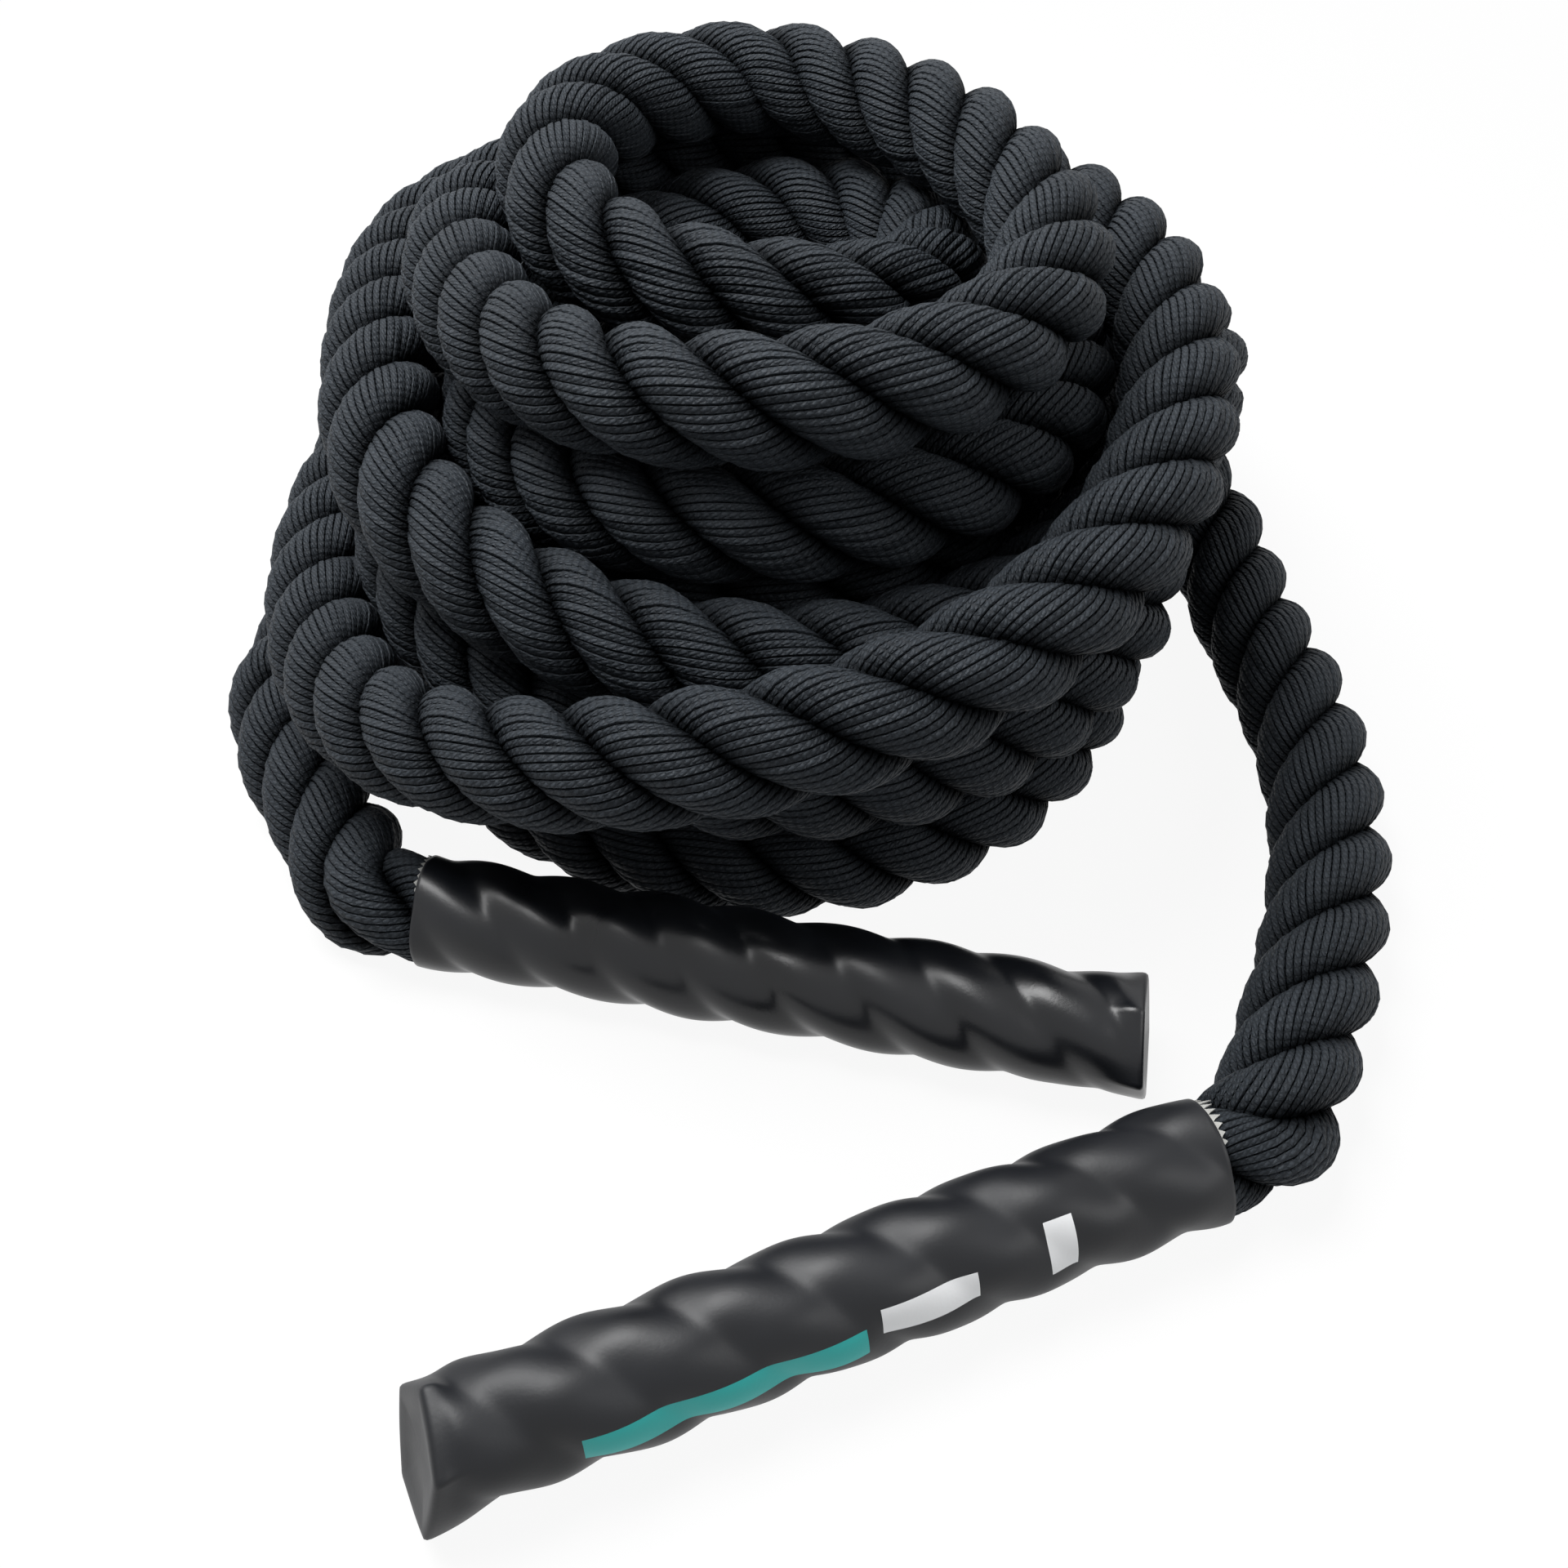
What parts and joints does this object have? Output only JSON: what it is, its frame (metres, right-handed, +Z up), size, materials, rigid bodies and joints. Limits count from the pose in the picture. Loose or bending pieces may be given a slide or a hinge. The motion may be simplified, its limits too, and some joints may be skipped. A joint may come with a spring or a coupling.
{
  "type": "battle rope",
  "caption": "Thick black three-strand training rope laid down in a loose pile of rounds, with a shrink-sleeved grip at each end.",
  "frame": {"origin": "middle of the bounding box's underside, on the floor that the pile lies on", "axes": "+Z up, -Y towards the two grips, +X to the right as seen from the grips' side"},
  "size_m": [0.5394, 0.7412, 0.2518],
  "materials": {
    "rope": "matte laid polyester",
    "bound_rope": "matte laid polyester, pressed tight",
    "sleeve": "satin shrunk tube",
    "tape": "matte fibre tape"
  },
  "bodies": {
    "root": {"rope_coil": "rope", "rope_tail_near": "rope", "rope_tail_far": "rope", "rope_end_near": "bound_rope", "rope_end_far": "bound_rope", "handle_sleeve_near": "sleeve", "handle_sleeve_far": "sleeve", "binding_tape_near": "tape", "binding_tape_far": "tape"}
  },
  "joints": []
}
